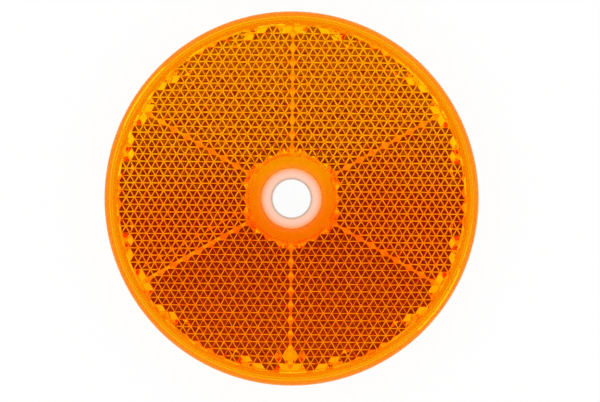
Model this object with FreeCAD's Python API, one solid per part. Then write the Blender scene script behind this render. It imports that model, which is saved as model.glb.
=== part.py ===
"""Round screw-on reflector: an amber prism lens over a white back plate with a central fixing boss.

Millimetres. The fixing hole runs along Z, the back lies on z = 0 and the front looks along +Z.
"""
import FreeCAD, Part
import math
import os

# Overall
DIAMETER = 60.0
THICKNESS = 6.5

# Lens: front plate, side wall and the lip that takes the back plate
FRONT_PLATE = 2.0
RIM_WALL = 1.93
RIM_ROUND = 1.25
LIP_WALL = 1.1
LIP_SETBACK = 0.3

# Lens hub: the tube round the boss
HUB_WALL = 2.0
HUB_MOUTH_ROUND = 0.9
HUB_ROOT_WIDTH = 0.4
HUB_ROOT_DEPTH = 0.12

# Corner-cube prisms on the back of the front plate
SECTORS = 6
PRISM_ACROSS_FLATS = 2.32
PRISM_FIRST_ROW = 0.466
PRISM_PLINTH = 0.15
PRISM_EMBED = 0.6
PRISM_HUB_MARGIN = 0.35
PRISM_RIM_BITE = 0.25
SEAM_GAP = 0.12

# Back plate
PLATE_THICKNESS = 1.8
PLATE_EDGE_CHAMFER = 0.3
SEAT_RING_WIDTH = 4.0
HUB_PAD_WIDTH = 5.5
BACK_RELIEF = 0.5

# Fixing boss on the back plate
BORE_DIAMETER = 6.1
BORE_CHAMFER = 0.3
BOSS_WALL = 1.7
BOSS_RECESS = 0.9

# Running clearances between the two mouldings
LIP_CLEARANCE = 0.1
BOSS_CLEARANCE = 0.1

# Radii and heights that follow from the sizes above
outer_r = DIAMETER / 2
chamber_r = outer_r - RIM_WALL
rabbet_r = outer_r - LIP_WALL
plate_r = rabbet_r - LIP_CLEARANCE
bore_r = BORE_DIAMETER / 2
boss_r = bore_r + BOSS_WALL
hub_hole_r = boss_r + BOSS_CLEARANCE
hub_r = hub_hole_r + HUB_WALL

front_z = THICKNESS
land_z = front_z - FRONT_PLATE
seat_z = PLATE_THICKNESS
boss_top_z = front_z - BOSS_RECESS

ORIGIN = FreeCAD.Vector(0, 0, 0)
AXIS = FreeCAD.Vector(0, 0, 1)


def turned(corners):
    """Solid turned about Z from (radius, height, corner rounding) triples in order round the section."""
    count = len(corners)
    points = [FreeCAD.Vector(radius, 0, height) for radius, height, rounding in corners]
    bends = []
    for i, (radius, height, rounding) in enumerate(corners):
        back = (points[i - 1] - points[i]).normalize()
        ahead = (points[(i + 1) % count] - points[i]).normalize()
        half = back.getAngle(ahead) / 2
        reach = rounding / math.tan(half)
        inward = (back + ahead).normalize() * (rounding / math.sin(half) - rounding)
        bends.append((points[i] + back * reach, points[i] + inward, points[i] + ahead * reach))
    edges = []
    for i, (start, middle, end) in enumerate(bends):
        if corners[i][2] > 0:
            edges.append(Part.Arc(start, middle, end).toShape())
        edges.append(Part.makeLine(end, bends[(i + 1) % count][0]))
    section = Part.Face(Part.Wire(edges))
    return section.revolve(ORIGIN, AXIS, 360)


def flat(points):
    """Plane face through the given corners."""
    return Part.Face(Part.makePolygon(points + points[:1]))


def lens_shell():
    """Front plate, rim wall with its rabbeted lip, and hub tube, without the prisms."""
    return turned([
        (hub_hole_r, seat_z, 0),
        (hub_hole_r, front_z, HUB_MOUTH_ROUND),
        (outer_r, front_z, RIM_ROUND),
        (outer_r, LIP_SETBACK, 0),
        (rabbet_r, LIP_SETBACK, 0),
        (rabbet_r, seat_z, 0),
        (chamber_r, seat_z, 0),
        (chamber_r, land_z, 0),
        (hub_r + HUB_ROOT_WIDTH, land_z, 0),
        (hub_r, land_z - HUB_ROOT_DEPTH, 0),
        (hub_r, seat_z, 0),
    ])


# The prisms of one sector lie on a hexagonal lattice. A cell is one cube corner seen down its body
# diagonal: the apex over the hexagon's centre, then corners that alternate between two levels.
cell_side = PRISM_ACROSS_FLATS / math.sqrt(3)
cube_step = cell_side / math.sqrt(2)
valley_z = land_z - PRISM_PLINTH
shoulder_z = valley_z - cube_step
apex_z = shoulder_z - cube_step
embed_z = land_z + PRISM_EMBED
field_inner_r = hub_r + PRISM_HUB_MARGIN
field_outer_r = chamber_r + PRISM_RIM_BITE
half_sector = math.pi / SECTORS

# Lattice steps to the neighbour across each side of a cell, in turn from the side at 30 degrees
NEIGHBOURS = [(1, 0), (0, 1), (-1, 1), (-1, 0), (0, -1), (1, -1)]


def cell_centre(column, row):
    """Plan position of a cell in a sector that is centred on +X."""
    along = PRISM_FIRST_ROW + 1.5 * cell_side * column
    across = PRISM_ACROSS_FLATS * (row + (column + 1) / 2)
    return along, across


def cell_corners(column, row):
    """The six plan corners of a cell, the first one towards +X."""
    along, across = cell_centre(column, row)
    turns = [math.radians(60 * k) for k in range(6)]
    return [(along + cell_side * math.cos(t), across + cell_side * math.sin(t)) for t in turns]


def in_field(column, row):
    """True for a cell that lies whole between hub and rim, with no more than a tip over the seam."""
    along, across = cell_centre(column, row)
    seam_distance = along * math.sin(half_sector) - abs(across) * math.cos(half_sector)
    if seam_distance < PRISM_ACROSS_FLATS / 2:
        return False
    radii = [math.hypot(x, y) for x, y in cell_corners(column, row)]
    return field_inner_r <= min(radii) and max(radii) <= field_outer_r


def prism_sector():
    """One sector of corner-cube prisms on +X, as a block whose root lies inside the front plate."""
    reach = math.ceil(2 * outer_r / PRISM_ACROSS_FLATS)
    grid = [(column, row) for column in range(reach) for row in range(-2 * reach, reach)]
    cells = {cell for cell in grid if in_field(*cell)}
    faces = []
    for column, row in sorted(cells):
        along, across = cell_centre(column, row)
        plan = cell_corners(column, row)
        apex = FreeCAD.Vector(along, across, apex_z)
        levels = [shoulder_z, valley_z] * 3
        low = [FreeCAD.Vector(x, y, z) for (x, y), z in zip(plan, levels)]
        root = [FreeCAD.Vector(x, y, embed_z) for x, y in plan]
        faces.append(flat(root))
        for k in (1, 3, 5):
            faces.append(flat([apex, low[k - 1], low[k], low[(k + 1) % 6]]))
        for k, (d_column, d_row) in enumerate(NEIGHBOURS):
            if (column + d_column, row + d_row) not in cells:
                after = (k + 1) % 6
                faces.append(flat([low[k], low[after], root[after], root[k]]))
    shell = Part.makeShell(faces)
    shell.sewShape()
    block = Part.Solid(shell)
    # The tips along both seams are trimmed to leave a narrow straight gap between sectors.
    tip = SEAM_GAP / 2 / math.sin(half_sector)
    half_width = outer_r * math.tan(half_sector)
    depth = embed_z - apex_z
    wedge = flat([
        FreeCAD.Vector(tip, 0, apex_z - depth),
        FreeCAD.Vector(tip + outer_r, -half_width, apex_z - depth),
        FreeCAD.Vector(tip + outer_r, half_width, apex_z - depth),
    ]).extrude(AXIS * (3 * depth))
    return block.common(wedge)


def make_lens():
    """The amber moulding with all sectors of prisms in one solid."""
    sector = prism_sector()
    sectors = []
    for i in range(SECTORS):
        copy = sector.copy()
        copy.rotate(ORIGIN, AXIS, 360 / SECTORS * i)
        sectors.append(copy)
    return lens_shell().fuse(sectors)


def make_back_plate():
    """The white disc that closes the chamber, with the boss that the fixing screw clamps."""
    pad_r = boss_r + HUB_PAD_WIDTH
    ring_r = plate_r - SEAT_RING_WIDTH
    return turned([
        (bore_r + BORE_CHAMFER, 0, 0),
        (bore_r, BORE_CHAMFER, 0),
        (bore_r, boss_top_z - BORE_CHAMFER, 0),
        (bore_r + BORE_CHAMFER, boss_top_z, 0),
        (boss_r, boss_top_z, 0),
        (boss_r, seat_z, 0),
        (plate_r, seat_z, 0),
        (plate_r, PLATE_EDGE_CHAMFER, 0),
        (plate_r - PLATE_EDGE_CHAMFER, 0, 0),
        (ring_r, 0, 0),
        (ring_r - BACK_RELIEF, BACK_RELIEF, 0),
        (pad_r + BACK_RELIEF, BACK_RELIEF, 0),
        (pad_r, 0, 0),
    ])


os.makedirs("parts", exist_ok=True)
for name, shape in (("lens", make_lens()), ("back_plate", make_back_plate())):
    solid = shape.Solids[0]
    print(name, "solids", len(shape.Solids), "valid", shape.isValid(), "volume", round(shape.Volume, 2))
    solid.exportStep("parts/" + name + ".step")
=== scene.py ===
# %% [markdown]
# # A round amber reflector
#
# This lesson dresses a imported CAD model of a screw-on reflector: a clear amber lens with rows of tiny mirror
# prisms on its back, closed by a white plate whose boss takes the fixing screw. The CAD gives the shapes and
# their places. Here the field of prisms is completed up to its edges, the prisms get the soft edges of a
# moulding, and both mouldings get their finish.

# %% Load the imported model
import math

import bpy
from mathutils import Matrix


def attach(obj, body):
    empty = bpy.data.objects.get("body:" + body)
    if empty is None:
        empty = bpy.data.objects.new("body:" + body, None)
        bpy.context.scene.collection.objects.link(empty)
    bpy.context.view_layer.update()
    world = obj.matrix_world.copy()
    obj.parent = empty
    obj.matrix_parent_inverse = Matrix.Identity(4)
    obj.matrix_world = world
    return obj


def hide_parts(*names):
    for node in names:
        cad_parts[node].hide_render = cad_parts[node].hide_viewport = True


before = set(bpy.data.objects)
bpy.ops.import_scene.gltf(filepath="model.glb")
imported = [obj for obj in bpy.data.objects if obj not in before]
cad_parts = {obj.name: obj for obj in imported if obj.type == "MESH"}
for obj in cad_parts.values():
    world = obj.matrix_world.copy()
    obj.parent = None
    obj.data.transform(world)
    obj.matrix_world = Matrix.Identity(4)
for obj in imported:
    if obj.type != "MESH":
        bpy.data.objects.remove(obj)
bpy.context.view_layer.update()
MM = 0.001


# %% [markdown]
# ## Camera
#
# The picture looks straight down at the front face. A real lens stands some way off, so a perspective camera
# at 0.6 m is used and its focal length follows from the size that the disc has in the picture: 375.4 pixels
# for 60 mm. The disc sits a little left of the middle, so the camera stands a little to the right.

# %% Set the camera over the front face
PICTURE_WIDTH = 600
DISC_DIAMETER = 60.0 * MM
DISC_PIXELS = 375.4
DISC_RIGHT_PIXELS = -8.47
DISC_UP_PIXELS = 2.45
FRONT_Z = 6.5 * MM
CAMERA_HEIGHT = 0.6
CAMERA_ROLL = math.radians(0.5)
SENSOR_WIDTH = 36.0
NEAR_CLIP = 0.01

pixel = DISC_DIAMETER / DISC_PIXELS
bpy.ops.object.select_all(action='DESELECT')
bpy.ops.object.camera_add(
    location=(-DISC_RIGHT_PIXELS * pixel, -DISC_UP_PIXELS * pixel, CAMERA_HEIGHT),
    rotation=(0, 0, CAMERA_ROLL))
camera = bpy.context.object
camera.name = "picture_camera"
camera.data.sensor_width = SENSOR_WIDTH
camera.data.lens = SENSOR_WIDTH * (CAMERA_HEIGHT - FRONT_Z) / (PICTURE_WIDTH * pixel)
camera.data.clip_start = NEAR_CLIP
bpy.context.scene.camera = camera
print("focal length mm", round(camera.data.lens, 2))

# %% [markdown]
# ## A way to write shader patterns
#
# A finish is a small program: distances, masks and mixes. Drawn by hand it is a web of nodes, so a class
# wraps one output socket. Sums on it add Math nodes, and one method adds any other node by its type,
# its settings and what goes into its sockets.

# %% Wrap a socket so that sums on it add nodes
class Pattern:
    """One output socket of a node tree."""

    def __init__(self, tree, socket=None):
        self.tree = tree
        self.socket = socket

    def node(self, kind, settings=None, inputs=None, output=0):
        """Add a node, apply its settings, fill or link its sockets and return one of its outputs."""
        made = self.tree.nodes.new(kind)
        for name, value in (settings or {}).items():
            if name == "stops":
                set_stops(made.color_ramp, value)
            else:
                setattr(made, name, value)
        for name, value in (inputs or {}).items():
            self.feed(made.inputs[name], value)
        return Pattern(self.tree, made.outputs[output])

    def feed(self, socket, value):
        """Link a pattern into a socket, or set a plain value on it."""
        if isinstance(value, Pattern):
            self.tree.links.new(value.socket, socket)
        else:
            socket.default_value = value

    def work(self, operation, *values):
        """A Math node on the given values."""
        return self.node("ShaderNodeMath", {"operation": operation}, dict(enumerate(values)))

    def __add__(self, other):
        return self.work('ADD', self, other)

    def __sub__(self, other):
        return self.work('SUBTRACT', self, other)

    def __rsub__(self, other):
        return self.work('SUBTRACT', other, self)

    def __mul__(self, other):
        return self.work('MULTIPLY', self, other)

    def __truediv__(self, other):
        return self.work('DIVIDE', self, other)

    __radd__ = __add__
    __rmul__ = __mul__

    def largest(self, other):
        """The larger of two patterns at each place."""
        return self.work('MAXIMUM', self, other)

    def rise(self, start, end):
        """0 below start, 1 above end, with a soft step between."""
        limits = {"Value": self, "From Min": start, "From Max": end}
        return self.node("ShaderNodeMapRange", {"interpolation_type": 'SMOOTHSTEP'}, limits)

    def within(self, start, full, fade, end):
        """1 from full to fade, 0 before start and after end, with soft steps between."""
        return self.rise(start, full) * (1 - self.rise(fade, end))

    def blend(self, low, high):
        """A colour that goes from low to high as this pattern goes from 0 to 1."""
        return self.node("ShaderNodeMix", {"data_type": 'RGBA'}, {0: self, 6: low, 7: high}, output=2)


def set_stops(ramp, stops):
    """Give a colour ramp its stops, as pairs of position and colour."""
    while len(ramp.elements) < len(stops):
        ramp.elements.new(1.0)
    for element, (position, colour) in zip(ramp.elements, stops):
        element.position = position
        element.color = colour


def new_material(name):
    """A material with its node tree as a start for patterns, its main shader and its output node."""
    material = bpy.data.materials.new(name)
    material.use_nodes = True
    tree = material.node_tree
    return material, Pattern(tree), tree.nodes["Principled BSDF"].inputs, tree.nodes["Material Output"].inputs


print("pattern tools ready")

# %% [markdown]
# ## Floor
#
# The object lies on a white sheet. A white that is only lit never reaches the white of paper in the picture,
# and more light would burn the object out. So what the camera sees of the sheet, also through glass and in
# reflections, is mostly a plain white of strength 1, while the light that bounces off it stays that of a
# painted sheet. The part that isn't plain white still takes the shadow.

# %% Lay the white sheet
SHEET_SIZE = 3.0
SHEET_Z = -0.2 * MM
SHEET_PAINT = (0.9, 0.9, 0.9, 1)
SHEET_ROUGHNESS = 0.8
PLAIN_WHITE_SHARE = 0.93

bpy.ops.object.select_all(action='DESELECT')
bpy.ops.mesh.primitive_plane_add(size=SHEET_SIZE, location=(0, 0, SHEET_Z))
sheet = bpy.context.object
sheet.name = "white_sheet"
bpy.ops.object.transform_apply(location=True)
sheet_finish, at, shader, output = new_material("white_sheet")
shader["Base Color"].default_value = SHEET_PAINT
shader["Roughness"].default_value = SHEET_ROUGHNESS
seen = at.node("ShaderNodeLightPath", output="Is Camera Ray")
for ray in ("Is Glossy Ray", "Is Transmission Ray"):
    seen = seen.largest(at.node("ShaderNodeLightPath", output=ray))
paper = Pattern(at.tree, at.tree.nodes["Principled BSDF"].outputs[0])
white = at.node("ShaderNodeEmission")
surface = at.node("ShaderNodeMixShader", None, {0: seen * PLAIN_WHITE_SHARE, 1: paper, 2: white})
at.feed(output["Surface"], surface)
sheet.data.materials.append(sheet_finish)
print("sheet at mm", round(SHEET_Z / MM, 2))

# %% [markdown]
# ## Light
#
# Product pictures like this are taken in a white tent. A cube corner sends light straight back where it came
# from, so each prism facet shows only the spot that the viewer looks from: the opening of the tent overhead,
# darker and warmer than its walls. That is why the facets read deep red while everything else in the lens
# glows. The opening isn't even: what lies behind it on one side returns to the upper half of the lens. The
# world holds this tent, as a pale wall all round and a ramp of colours across the opening.

# %% Build the tent of light
TENT_LIGHT = (1.18, 1.18, 1.18, 1)
OPENING_STARTS = 0.94
OPENING_FULL = 0.985
OPENING_SPAN = 0.05
OPENING_COLOURS = [
    (0.14, (0.44, 0.200, 0.04, 1)),
    (0.30, (0.30, 0.070, 0.02, 1)),
    (0.40, (0.18, 0.016, 0.01, 1)),
    (0.50, (0.28, 0.036, 0.01, 1)),
    (0.60, (0.19, 0.018, 0.01, 1)),
    (0.70, (0.34, 0.070, 0.02, 1)),
    (0.80, (0.24, 0.040, 0.02, 1)),
    (0.90, (0.38, 0.095, 0.03, 1)),
]
PLAIN_WHITE = (1.0, 1.0, 1.0, 1)

tent = bpy.data.worlds.new("light_tent")
tent.use_nodes = True
bpy.context.scene.world = tent
at = Pattern(tent.node_tree)
direction = at.node("ShaderNodeTexCoord", output="Generated")
up = at.node("ShaderNodeSeparateXYZ", None, {0: direction}, output="Z")
back = at.node("ShaderNodeSeparateXYZ", None, {0: direction}, output="Y")
across = back / (2 * OPENING_SPAN) + 0.5
opening = at.node("ShaderNodeValToRGB", {"stops": OPENING_COLOURS}, {0: across})
light = up.rise(OPENING_STARTS, OPENING_FULL).blend(TENT_LIGHT, opening)
seen = at.node("ShaderNodeLightPath", output="Is Camera Ray")
at.feed(tent.node_tree.nodes["Background"].inputs["Color"], seen.blend(light, PLAIN_WHITE))
print("tent walls", TENT_LIGHT[:3], "opening above", OPENING_STARTS)

# %% [markdown]
# Light in a lens of prisms bounces many times before it leaves. The limits on bounces are raised, and the
# filter that blurs mirror-like bounces after a matt one is switched off, because it turns clear walls milky.

# %% Let light bounce through the prisms
cycles = bpy.context.scene.cycles
cycles.max_bounces = 32
cycles.glossy_bounces = 24
cycles.transmission_bounces = 24
cycles.diffuse_bounces = 6
cycles.blur_glossy = 0.0
bpy.context.scene.view_settings.view_transform = 'Standard'
print("bounces", cycles.max_bounces)

# %% [markdown]
# ## The lens: a clean copy of the CAD mesh
#
# The lens is one clear moulding. The CAD mesh of it is loose triangles, which can't be shaped further, so it
# is copied and its doubles are merged. The copy then takes the place of the CAD lens in the picture.

# %% Copy and merge
MERGE = 0.001 * MM

bpy.ops.object.select_all(action='DESELECT')
lens = bpy.data.objects.new("amber_lens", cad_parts["lens"].data.copy())
bpy.context.scene.collection.objects.link(lens)
lens.data.materials.clear()
bpy.context.view_layer.objects.active = lens
lens.select_set(True)
bpy.ops.object.mode_set(mode='EDIT')
bpy.ops.mesh.select_all(action='SELECT')
bpy.ops.mesh.remove_doubles(threshold=MERGE)
bpy.ops.object.mode_set(mode='OBJECT')
print("lens merged to", len(lens.data.vertices), "vertices")

# %% [markdown]
# ## Fragments of prisms
#
# The CAD holds the whole cells of the lattice. On the real tool the lattice runs on and is trimmed by two
# circles, one round the hub and one just inside the rim. The fragments that are left there catch the light
# from the side as small yellow sparks. One cell is a six-sided column whose lower end is cut by the three
# planes of a cube corner, so a cylinder with six sides and three bisect cuts give it. The columns overlap
# their neighbours by a hair and are lifted by less, so that no two faces lie in one place when they are
# united.

# %% Cut the fragments out of six-sided columns
SECTORS = 6
CELL_FLATS = 2.32 * MM
CELL_SIDE = CELL_FLATS / math.sqrt(3)
FIRST_ROW = 0.466 * MM
VALLEY_Z = 4.35 * MM
LIFT = 0.003 * MM
APEX_Z = VALLEY_Z - math.sqrt(2) * CELL_SIDE + LIFT
COLUMN_TOP = 5.0 * MM
COLUMN_BOTTOM = 2.2 * MM
OVERLAP = 0.02 * MM
TRIM_INNER = 7.3 * MM
RIM_CELLS = [(12, -12), (12, -1), (13, -11), (13, -10), (13, -4), (13, -3)]
HUB_CELLS = [(3, -3), (3, -2), (3, -1)]


def placed(along, across, turn):
    """The plan place of a point along and across a line that is turned round the axis."""
    x = along * math.cos(turn) - across * math.sin(turn)
    y = along * math.sin(turn) + across * math.cos(turn)
    return x, y


def cut(point, normal):
    """Cut the mesh in edit mode, close it and drop what lies on the side that the normal points to."""
    bpy.ops.mesh.select_all(action='SELECT')
    bpy.ops.mesh.bisect(plane_co=point, plane_no=normal, use_fill=True, clear_outer=True)


def add_cell(column, row, sector):
    """One cell of the lattice. A cell at the hub is cut off by a plane that touches the inner circle."""
    turn = math.radians(360 / SECTORS * sector)
    along = FIRST_ROW + 1.5 * CELL_SIDE * column
    across = CELL_FLATS * (row + (column + 1) / 2)
    x, y = placed(along, across, turn)
    bpy.ops.mesh.primitive_cylinder_add(
        vertices=6, radius=CELL_SIDE + OVERLAP, depth=COLUMN_TOP - COLUMN_BOTTOM,
        location=(x, y, (COLUMN_TOP + COLUMN_BOTTOM) / 2), rotation=(0, 0, turn + math.radians(30)))
    bpy.ops.object.transform_apply(location=True, rotation=True)
    bpy.ops.object.mode_set(mode='EDIT')
    for corner in (1, 3, 5):
        slope = turn + math.radians(60 * corner)
        cut((x, y, APEX_Z), (math.sqrt(2) * math.cos(slope), math.sqrt(2) * math.sin(slope), -1))
    if (column, row) in HUB_CELLS:
        outward = math.atan2(y, x)
        out_x, out_y = math.cos(outward), math.sin(outward)
        cut((TRIM_INNER * out_x, TRIM_INNER * out_y, 0), (-out_x, -out_y, 0))
    bpy.ops.object.mode_set(mode='OBJECT')
    return bpy.context.object


def join(pieces):
    """Join pieces into one object."""
    bpy.ops.object.select_all(action='DESELECT')
    for piece in pieces:
        piece.select_set(True)
    bpy.ops.object.join()
    return bpy.context.object


cells = [add_cell(*cell, sector) for sector in range(SECTORS) for cell in RIM_CELLS + HUB_CELLS]
fragments = join(cells)
print("cells cut", len(cells), "faces", len(fragments.data.polygons))

# %% [markdown]
# Near the outer end of the lower seam a pin pushed the lens out of its tool. Its round mark stands among the
# prisms and glints. It is a cylinder whose end is inset twice: once pulled down into a sloping edge and once
# pushed back up into a dimple. The dimple is flatter than a mirror facet, so that it isn't taken for one
# later.

# %% Stand a pin mark on the lower seam
PIN_Y = -25.1 * MM
PIN_RADIUS = 1.05 * MM
PIN_TOP = 4.8 * MM
PIN_END = 2.52 * MM
PIN_SIDES = 24
FACING_DOWN = -0.5
PIN_RINGS = ((0.30 * MM, -0.12 * MM), (0.28 * MM, 0.30 * MM))

bpy.ops.object.select_all(action='DESELECT')
bpy.ops.mesh.primitive_cylinder_add(
    vertices=PIN_SIDES, radius=PIN_RADIUS, depth=PIN_TOP - PIN_END,
    location=(0, PIN_Y, (PIN_TOP + PIN_END) / 2))
pin = bpy.context.object
bpy.ops.object.transform_apply(location=True)
bpy.ops.object.mode_set(mode='EDIT')
bpy.ops.mesh.select_mode(type='FACE')
bpy.ops.mesh.select_all(action='DESELECT')
bpy.ops.object.mode_set(mode='OBJECT')
for face in pin.data.polygons:
    face.select = face.normal.z < FACING_DOWN
bpy.ops.object.mode_set(mode='EDIT')
for width, rise in PIN_RINGS:
    bpy.ops.mesh.inset(thickness=width)
    bpy.ops.transform.translate(value=(0, 0, rise))
bpy.ops.object.mode_set(mode='OBJECT')
print("pin faces", len(pin.data.polygons))
fragments = join([fragments, pin])

# %% [markdown]
# ## Edges of the field
#
# Two cutters bring the field to its outline. A turned ring trims the prisms on a circle inside the rim and
# leaves a flat land at the foot of the wall. Where two sectors meet, the tool's blocks of prisms stand a
# little apart, so a bar along each seam opens a straight groove between them. The bars are listed by the
# sector that they follow: the fourth is wider than the others, and the fifth ends at the pin mark.

# %% Turn a ring that trims the field inside the rim
TRIM_OUTER = 27.78 * MM
RING_OUTER = 28.10 * MM
RING_BOTTOM = 2.0 * MM
RING_TOP = 4.51 * MM
RING_STEPS = 96

bpy.ops.object.select_all(action='DESELECT')
bpy.ops.mesh.primitive_circle_add(vertices=RING_STEPS, radius=RING_OUTER, location=(0, 0, RING_BOTTOM))
ring = bpy.context.object
bpy.ops.object.transform_apply(location=True)
bpy.ops.object.mode_set(mode='EDIT')
bpy.ops.mesh.select_all(action='SELECT')
bpy.ops.mesh.extrude_edges_move()
bpy.ops.transform.resize(value=(TRIM_OUTER / RING_OUTER, TRIM_OUTER / RING_OUTER, 1))
bpy.ops.mesh.select_all(action='SELECT')
bpy.ops.mesh.extrude_region_move(TRANSFORM_OT_translate={"value": (0, 0, RING_TOP - RING_BOTTOM)})
bpy.ops.mesh.select_all(action='SELECT')
bpy.ops.mesh.normals_make_consistent(inside=False)
bpy.ops.object.mode_set(mode='OBJECT')
print("ring faces", len(ring.data.polygons))

# %% Lay a bar along each seam
SEAM_WIDTHS = (0.30 * MM, 0.30 * MM, 0.30 * MM, 0.46 * MM, 0.30 * MM, 0.30 * MM)
SEAM_SHIFTS = (0.0, 0.0, 0.0, -0.12 * MM, 0.0, 0.0)
SEAM_INNER = 7.0 * MM
SEAM_OUTERS = (27.85 * MM, 27.85 * MM, 27.85 * MM, 27.85 * MM, 24.1 * MM, 27.85 * MM)
BAR_TOP = 4.49 * MM


def add_bar(sector):
    """One bar along the seam that follows a sector."""
    turn = math.radians(360 / SECTORS * (sector + 0.5))
    x, y = placed((SEAM_INNER + SEAM_OUTERS[sector]) / 2, SEAM_SHIFTS[sector], turn)
    bpy.ops.mesh.primitive_cube_add(
        size=1.0, location=(x, y, (RING_BOTTOM + BAR_TOP) / 2), rotation=(0, 0, turn),
        scale=(SEAM_OUTERS[sector] - SEAM_INNER, SEAM_WIDTHS[sector], BAR_TOP - RING_BOTTOM))
    bpy.ops.object.transform_apply(location=True, rotation=True, scale=True)
    return bpy.context.object


bars = join([add_bar(sector) for sector in range(SECTORS)])
print("bar faces", len(bars.data.polygons))


# %% Unite the fragments with the lens and trim the field
def combine(tool, operation):
    """Add a tool to the lens or cut it away, drop the tool and merge what fell together."""
    step = lens.modifiers.new("combine", 'BOOLEAN')
    step.operation = operation
    step.solver = 'EXACT'
    step.use_self = True
    step.object = tool
    bpy.ops.object.select_all(action='DESELECT')
    bpy.context.view_layer.objects.active = lens
    lens.select_set(True)
    bpy.ops.object.modifier_apply(modifier=step.name)
    bpy.data.objects.remove(tool)
    bpy.ops.object.mode_set(mode='EDIT')
    bpy.ops.mesh.select_mode(type='VERT')
    bpy.ops.mesh.select_all(action='SELECT')
    bpy.ops.mesh.remove_doubles(threshold=2 * LIFT)
    bpy.ops.mesh.select_all(action='DESELECT')
    bpy.ops.mesh.select_non_manifold()
    bpy.ops.object.mode_set(mode='OBJECT')
    loose = sum(vertex.select for vertex in lens.data.vertices)
    print(operation.lower(), "gives", len(lens.data.vertices), "vertices,", loose, "on open edges")


combine(fragments, 'UNION')
combine(ring, 'DIFFERENCE')
combine(bars, 'DIFFERENCE')

# %% [markdown]
# ## Whole facets
#
# For soft edges the prisms need to be what they are on the real tool: flat facets that share their edges. The
# triangles of each facet and of each standing wall are dissolved into one face. Only those are chosen,
# because dissolving the wide flat faces too would leave faces with holes in them.

# %% Join the triangles of each facet and standing wall
LAND_Z = 4.5 * MM
PRISM_LOW_Z = 2.0 * MM
FIELD_INNER = 7.2 * MM
FIELD_OUTER = 28.0 * MM
FACET_SLOPE = (0.50, 0.65)
STANDING_SLOPE = 0.01
FLAT_ANGLE = math.radians(0.5)


def is_facet(face):
    """The mirror facets are the only faces at the slope of a cube stood on its corner."""
    return FACET_SLOPE[0] < abs(face.normal.z) < FACET_SLOPE[1] and PRISM_LOW_Z < face.center.z < LAND_Z


def is_standing(face):
    """The walls where a row of prisms ends at a seam, at the hub or at the rim."""
    in_field = FIELD_INNER < face.center.to_2d().length < FIELD_OUTER
    return abs(face.normal.z) < STANDING_SLOPE and in_field and face.center.z < LAND_Z


bpy.ops.object.mode_set(mode='EDIT')
bpy.ops.mesh.select_all(action='DESELECT')
bpy.ops.mesh.select_mode(type='FACE')
bpy.ops.object.mode_set(mode='OBJECT')
for face in lens.data.polygons:
    face.select = is_facet(face) or is_standing(face)
bpy.ops.object.mode_set(mode='EDIT')
bpy.ops.mesh.dissolve_limited(angle_limit=FLAT_ANGLE)
bpy.ops.mesh.select_all(action='DESELECT')
bpy.ops.object.mode_set(mode='OBJECT')
print("facets", sum(is_facet(face) for face in lens.data.polygons))

# %% [markdown]
# The lens rests on the plate, face on face. Two faces in one place confuse a renderer, and a real moulding
# only touches at a few points, so the resting faces are lifted by a hair. The shallow relief at the foot of
# the hub is levelled as well, because a slope there sends long red light paths up to the front.

# %% Lift the resting faces and level the foot of the hub
SEAT_Z = 1.8 * MM
HAIR = 0.03 * MM
HUB_FOOT_RADIUS = 6.9 * MM
HUB_FOOT_Z = (4.3 * MM, 4.45 * MM)

lifted = [vertex for vertex in lens.data.vertices if abs(vertex.co.z - SEAT_Z) < MERGE]
for vertex in lifted:
    vertex.co.z += HAIR
levelled = [
    vertex for vertex in lens.data.vertices
    if vertex.co.to_2d().length < HUB_FOOT_RADIUS and HUB_FOOT_Z[0] < vertex.co.z < HUB_FOOT_Z[1]]
for vertex in levelled:
    vertex.co.z = LAND_Z
print("lifted", len(lifted), "vertices by mm", HAIR / MM, "and levelled", len(levelled))

# %% [markdown]
# ## Soft prism edges
#
# A moulded prism has no knife edges. Each edge is a rounded strip that lets light through from the white
# plate behind, and these strips are the bright lines that draw the pattern. Resin doesn't fill the sharp
# bottom of the tool, so the ridges come out rounder than the grooves, which the tool presses in. A bevel
# modifier can do all of them at once when every edge carries a weight, which is its share of one width. The
# edges where the rows of prisms end have a share of their own, and the six sectors aren't equally sharp.

# %% Weigh the edges
SHOULDER_Z = 3.403 * MM
ROW_END_SHARE = 0.25
RIDGE_SHARES = (0.68, 0.78, 0.54)
GROOVE_SHARES = (0.46, 0.48, 0.26)
SECTOR_KINDS = (0, 1, 1, 0, 2, 2)


def sector_kind(point):
    """0 for the sectors at the sides, 1 for the two upper ones, 2 for the two lower ones."""
    return SECTOR_KINDS[round(math.degrees(math.atan2(point.y, point.x)) / (360 / SECTORS)) % SECTORS]


def edge_uses(faces):
    """How many of the given faces meet at each edge."""
    uses = {}
    for face in faces:
        for key in face.edge_keys:
            uses[key] = uses.get(key, 0) + 1
    return uses


mesh = lens.data
facet_uses = edge_uses(face for face in mesh.polygons if is_facet(face))
weights = mesh.attributes.new("bevel_weight_edge", 'FLOAT', 'EDGE')
for edge in mesh.edges:
    uses = facet_uses.get(tuple(sorted(edge.vertices)), 0)
    middle = (mesh.vertices[edge.vertices[0]].co + mesh.vertices[edge.vertices[1]].co) / 2
    if uses == 2:
        shares = RIDGE_SHARES if middle.z < SHOULDER_Z else GROOVE_SHARES
        weights.data[edge.index].value = shares[sector_kind(middle)]
    elif uses == 1 and middle.to_2d().length < FIELD_OUTER:
        weights.data[edge.index].value = ROW_END_SHARE
print("weighted edges", len(facet_uses))

# %% Round the weighted edges
RIDGE_WIDTH = 0.2 * MM

sharp_area = sum(face.area for face in mesh.polygons if is_facet(face))
soften = lens.modifiers.new("soft_edges", 'BEVEL')
soften.limit_method = 'WEIGHT'
soften.width = RIDGE_WIDTH
soften.segments = 2
soften.use_clamp_overlap = False
bpy.ops.object.modifier_apply(modifier=soften.name)
soft_area = sum(face.area for face in lens.data.polygons if is_facet(face))
print("mirror area left", round(soft_area / sharp_area, 3), "faces", len(lens.data.polygons))

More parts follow.
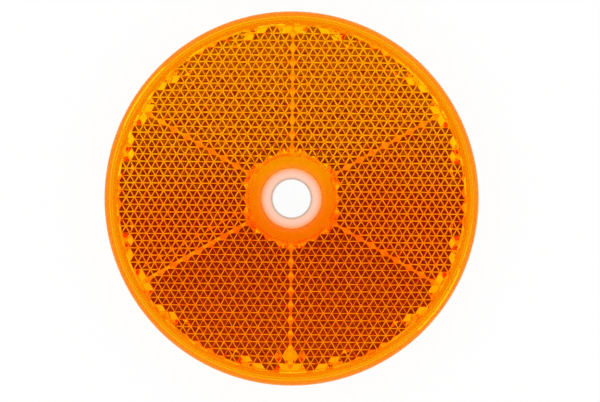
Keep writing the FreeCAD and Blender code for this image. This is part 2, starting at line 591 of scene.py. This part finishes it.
# %% [markdown]
# The rim and the mouth of the hub are round and get smooth shading, with normals weighted by area so that the
# big front face stays truly flat. The mirror facets and the walls stay flat shaded. The two halves of a
# rounded strip are shaded as one, so the edge between them must not be marked sharp.

# %% Shade the round parts smooth and the mirrors flat
SMOOTH_ANGLE = math.radians(25)
LIP_INNER = 29.0 * MM
FIELD_LIMIT = 28.3 * MM
UPRIGHT = 0.05
MIRROR_AREA = 0.5 * MM * MM

bpy.ops.object.shade_smooth_by_angle(angle=SMOOTH_ANGLE)
mesh = lens.data
strips = []
for face in mesh.polygons:
    radius = face.center.to_2d().length
    if PRISM_LOW_Z < face.center.z < LAND_Z and HUB_FOOT_RADIUS < radius < FIELD_LIMIT:
        sloping = UPRIGHT < abs(face.normal.z) and radius > FIELD_INNER
        face.use_smooth = sloping and not (is_facet(face) and face.area > MIRROR_AREA)
        if face.use_smooth:
            strips.append(face)
    elif abs(face.normal.z) < UPRIGHT and radius < LIP_INNER:
        face.use_smooth = False
strip_uses = edge_uses(strips)
for edge in mesh.edges:
    if strip_uses.get(tuple(sorted(edge.vertices)), 0) == 2:
        edge.use_edge_sharp = False
even = lens.modifiers.new("even_normals", 'WEIGHTED_NORMAL')
even.keep_sharp = True
even.weight = 100
bpy.ops.object.modifier_apply(modifier=even.name)
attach(lens, "root")
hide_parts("lens")
print("rounded strip faces", len(strips), "of", len(mesh.polygons))

# %% [markdown]
# ## Amber
#
# The lens is clear acrylic dyed through. Colour in the bulk, not on the surface, is what makes thin places
# yellow and long light paths red, so the dye is an absorbing volume: hardly any red is taken, some green and
# most blue. Both finishes of this object are drawn in millimetres round its axis, so a helper gives the place
# on a piece, and another gives the noise that makes a moulding uneven.

# %% Measure places on a piece
NOISE_MIDDLE = 0.5


def distance(x, y):
    """How far a place lies from where x and y are 0."""
    square = x * x + y * y
    return square.work('SQRT', square)


def places(at):
    """The place on a piece, and its x, y, z and distance from the axis in millimetres."""
    place = at.node("ShaderNodeTexCoord", output="Object")
    x, y, z = (at.node("ShaderNodeSeparateXYZ", None, {0: place}, output=axis) / MM for axis in "XYZ")
    return place, x, y, z, distance(x, y)


def noise(place, scale, detail):
    """Soft noise from 0 to 1 that is fixed to the piece."""
    return place.node("ShaderNodeTexNoise", None, {"Vector": place, "Scale": scale, "Detail": detail})


amber, at, shader, output = new_material("amber_acrylic")
place, x, y, z, radius = places(at)
print("places measured in millimetres")

# %% [markdown]
# Painted glints break up the lens: pale spots where the front is cleared so that it shines yellow. Along the
# upright seams and the wide one they follow each other at the pitch of the prisms, a ring of painted sparks
# marks the cut prisms round the hub, and the pin mark is painted clear. All of them go into one mask.

# %% Mark the painted glint spots
SPOT_EDGE = (0.2, 0.8)
SPOT_FIELD = (7.0, 7.3, 26.5, 27.0)
DOT_LINE, DOT_SHIFT = math.radians(90), 0.0
DOT_START, DOT_REACH = 7.6, (0.30, 0.55)
DASH_LINE, DASH_SHIFT = math.radians(30), -0.15
DASH_START, DASH_REACH = 8.8, (0.15, 0.35)
DASH_BELOW_Y = (-2.0, -1.0)
SPARKS = 2 * SECTORS
SPARK_EDGE = (1.4, 1.9)
SPARK_RING = (7.2, 7.35, 7.7, 7.9)
PIN_GLINT_REACH = (1.0, 1.3)


def seam_glint_spots(line, shift, start, reach):
    """Painted glint spots beside the line of a seam, one to each prism along it."""
    beside = x * math.sin(line) - y * math.cos(line) - shift
    beat = (radius - start) * (2 * math.pi * MM / CELL_FLATS)
    near = 1 - beside.work('ABSOLUTE', beside).rise(*reach)
    return beat.work('COSINE', beat).rise(*SPOT_EDGE) * near * radius.within(*SPOT_FIELD)


dots = seam_glint_spots(DOT_LINE, DOT_SHIFT, DOT_START, DOT_REACH)
dashes = seam_glint_spots(DASH_LINE, DASH_SHIFT, DASH_START, DASH_REACH) * (1 - y.rise(*DASH_BELOW_Y))
angle = x.work('ARCTAN2', y, x) * SPARKS
sparks = (1 - angle.work('COSINE', angle)).rise(*SPARK_EDGE) * radius.within(*SPARK_RING)
pin_glint = 1 - distance(x, y - PIN_Y / MM).rise(*PIN_GLINT_REACH)
# Painted glints: the seam spots, the sparks round the hub and the pin mark in one mask.
glint_spots = dots.largest(dashes).largest(sparks).largest(pin_glint)
print("sparks round the hub", SPARKS)

# %% [markdown]
# The dye isn't perfectly even in a moulding, and the front tint varies at random. The lower half of this lens
# is painted deeper in colour than the upper half, and the right side a little deeper than the left, as painted
# shade. Round the hub the front is painted clear, mostly on its upper side, as painted light, and at the rim
# the plastic is clear again, apart from a band painted dark as shade where one looks along the side wall. The
# flat land behind the prisms is patchy with painted yellow glints. These tints go on the surface, because a
# volume that varies can't be carried over to other programs.

# %% Tint the front and the land, with painted shade and painted glints
CLEAR = (1.0, 1.0, 1.0, 1)
PALE_AND_LIT_TINT = (1.0, 0.84, 0.84, 1)
DEEP_AND_SHADED_TINT = (1.0, 0.34, 0.34, 1)
RIM_SHADE_TINT = (1.0, 0.20, 0.02, 1)
LAND_GLINT_TINT = (1.0, 1.0, 0.5, 1)
LAND_DEEP = (1.0, 0.38, 0.10, 1)
SHADED_BELOW_Y, LIT_ABOVE_Y = -6.0, 12.0
RIGHT_SHADE_SIDE, RIGHT_SHADE_DROP = (6.0, 18.0), 5.0
FLOW_NOISE, FLOW_REACH = (90.0, 2.0), 12.0
LOWER_SHADE_SHARE = 0.6
MOTTLE_NOISE, MOTTLE_SHARE = (520.0, 3.0), 0.4
HUB_LIT_BAND = (5.4, 5.9, 7.2, 7.6)
HUB_LOWER_LIGHT_SHARE = 0.15
HUB_LIT_FROM_Y = (0.5, 5.0)
RIM_CLEAR = (27.9, 28.2)
RIM_SHADE_BAND = (28.55, 28.85, 28.95, 29.12)
FRONT_HEIGHT = (5.0, 6.0)
LAND_HEIGHT = (4.46, 4.49, 4.52, 4.55)
GLINT_PATCH_NOISE, GLINT_PATCH_EDGE = (1000.0, 1.0), (0.35, 0.6)

flow = noise(place, *FLOW_NOISE)
mottle = noise(place, *MOTTLE_NOISE)
glint_patches = noise(place, *GLINT_PATCH_NOISE)

# Painted shade: the lower half and the right side of the front get the deeper tint, and mottle adds uneven
# dye.
shade_height = y - x.rise(*RIGHT_SHADE_SIDE) * RIGHT_SHADE_DROP + (flow - NOISE_MIDDLE) * FLOW_REACH
lower = 1 - shade_height.rise(SHADED_BELOW_Y, LIT_ABOVE_Y)
depth = lower * LOWER_SHADE_SHARE + (mottle - NOISE_MIDDLE) * MOTTLE_SHARE
front = depth.rise(0.0, 1.0).blend(PALE_AND_LIT_TINT, DEEP_AND_SHADED_TINT)
# Painted light: the front round the hub is cleared, mostly on its upper side.
hub = radius.within(*HUB_LIT_BAND) * (HUB_LOWER_LIGHT_SHARE + y.rise(*HUB_LIT_FROM_Y) * (1 - HUB_LOWER_LIGHT_SHARE))
# The painted glint spots clear the front as well, like the clear rim.
front = hub.largest(radius.rise(*RIM_CLEAR)).largest(glint_spots).blend(front, CLEAR)
# Painted shade: a dark band on the rounded rim, where one looks along the side wall.
front = radius.within(*RIM_SHADE_BAND).blend(front, RIM_SHADE_TINT)
land = z.within(*LAND_HEIGHT)
# Painted glints: pale yellow patches and spots on the land.
land_tint_and_glints = (glint_patches.rise(*GLINT_PATCH_EDGE) * (1 - glint_spots)).blend(LAND_GLINT_TINT, LAND_DEEP)
at.feed(shader["Base Color"], land.blend(z.rise(*FRONT_HEIGHT).blend(CLEAR, front), land_tint_and_glints))
print("tints from", PALE_AND_LIT_TINT[:3], "to", DEEP_AND_SHADED_TINT[:3])

# %% [markdown]
# The outside is polished and carries fine handling marks, so its gloss varies a little. The faces that were
# welded to the plate are matt. The back isn't as true as the front: the prisms have a slight wave, and the
# foot of the wall round the land is a broken fillet, whose steep parts flash yellow.

# %% Polish the lens and wave its back
DYE_COLOUR = (0.9995, 0.933, 0.10, 1)
DYE_DENSITY = 1350.0
ACRYLIC_IOR = 1.49
GLINT_TINT = (1.0, 0.45, 0.12, 1)
MARK_NOISE, MARK_ROUGHNESS = (2600.0, 4.0), 0.06
WELD_ROUGHNESS = 0.5
WELD_HEIGHT = (1.75, 1.80, 1.9, 2.0)
WELD_END = (28.75, 28.85)
WAVE_HEIGHT = 0.02 * MM
WAVY_HEIGHT = (1.9, 2.0, 4.36, 4.46)
FILLET = (27.75, 28.05)
BREAK_NOISE, FILLET_BREAKS = (420.0, 0.0), (0.42, 0.55)
FILLET_DEPTH = 14.0

breaks = noise(place, *BREAK_NOISE)
marks = noise(place, *MARK_NOISE)

welded = z.within(*WELD_HEIGHT) * (1 - radius.rise(*WELD_END))
at.feed(shader["Roughness"], (marks * MARK_ROUGHNESS).largest(welded * WELD_ROUGHNESS))
fillet = land * radius.rise(*FILLET) * breaks.rise(*FILLET_BREAKS)
waves = z.within(*WAVY_HEIGHT) * mottle - fillet * FILLET_DEPTH
bump = {"Strength": 1.0, "Distance": WAVE_HEIGHT, "Height": waves}
at.feed(shader["Normal"], at.node("ShaderNodeBump", None, bump))
shader["IOR"].default_value = ACRYLIC_IOR
shader["Transmission Weight"].default_value = 1.0
shader["Specular Tint"].default_value = GLINT_TINT
dye = {"Color": DYE_COLOUR, "Density": DYE_DENSITY}
at.feed(output["Volume"], at.node("ShaderNodeVolumeAbsorption", None, dye))
lens.data.materials.append(amber)
print("green taken per mm", round((1 - DYE_COLOUR[1]) * DYE_DENSITY * MM, 3))

# %% [markdown]
# ## White plate
#
# The plate and its boss are one white moulding with a satin surface. The boss stands inside the amber hub and
# takes up its light, and that amber light is painted on its face as pink, more so towards the hub. The bevel
# at the mouth of the bore is painted grey as shade. The inside is clean and bright, and the back keeps the
# fine texture of the tool.

# %% Finish the plate
PLATE_WHITE = (0.93, 0.92, 0.90, 1)
PLATE_SHADE = (0.88, 0.865, 0.84, 1)
CHAMBER_WHITE = (0.97, 0.965, 0.95, 1)
BOSS_PAINTED_LIGHT = (0.90, 0.57, 0.42, 1)
BOSS_PAINTED_DEEP_LIGHT = (0.92, 0.44, 0.22, 1)
BORE_PAINTED_SHADE = (0.62, 0.45, 0.35, 1)
CLOUD_NOISE, SHADE_SHARE = (260.0, 3.0), 0.6
INSIDE_HEIGHT = (1.70, 1.78)
BOSS_HEIGHT = (5.1, 5.3)
BOSS_LIGHT_SPREAD = (3.9, 4.8)
BORE_BEVEL = (3.30, 3.42)
SATIN = 0.38
SATIN_SPREAD = 0.2
GRAIN_NOISE, GRAIN_DEPTH = (5200.0, 2.0), 0.02 * MM
GRAIN_STRENGTH = 0.25

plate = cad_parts["back_plate"]
white, at, shader, output = new_material("satin_white")
place, x, y, z, radius = places(at)
cloud = noise(place, *CLOUD_NOISE)
grain = noise(place, *GRAIN_NOISE)

body = (cloud * SHADE_SHARE).blend(PLATE_WHITE, PLATE_SHADE)
body = z.rise(*INSIDE_HEIGHT).blend(body, CHAMBER_WHITE)
# Painted amber light: the boss face goes from pale pink to deeper amber towards the hub.
boss = radius.rise(*BOSS_LIGHT_SPREAD).blend(BOSS_PAINTED_LIGHT, BOSS_PAINTED_DEEP_LIGHT)
# Painted shade: the bevel at the mouth of the bore is greyed.
boss = radius.rise(*BORE_BEVEL).blend(BORE_PAINTED_SHADE, boss)
at.feed(shader["Base Color"], z.rise(*BOSS_HEIGHT).blend(body, boss))
at.feed(shader["Roughness"], SATIN + grain * SATIN_SPREAD)
texture = {"Strength": GRAIN_STRENGTH, "Distance": GRAIN_DEPTH, "Height": grain}
at.feed(shader["Normal"], at.node("ShaderNodeBump", None, texture))
plate.data.materials.clear()
plate.data.materials.append(white)
print("plate finish on", plate.name)
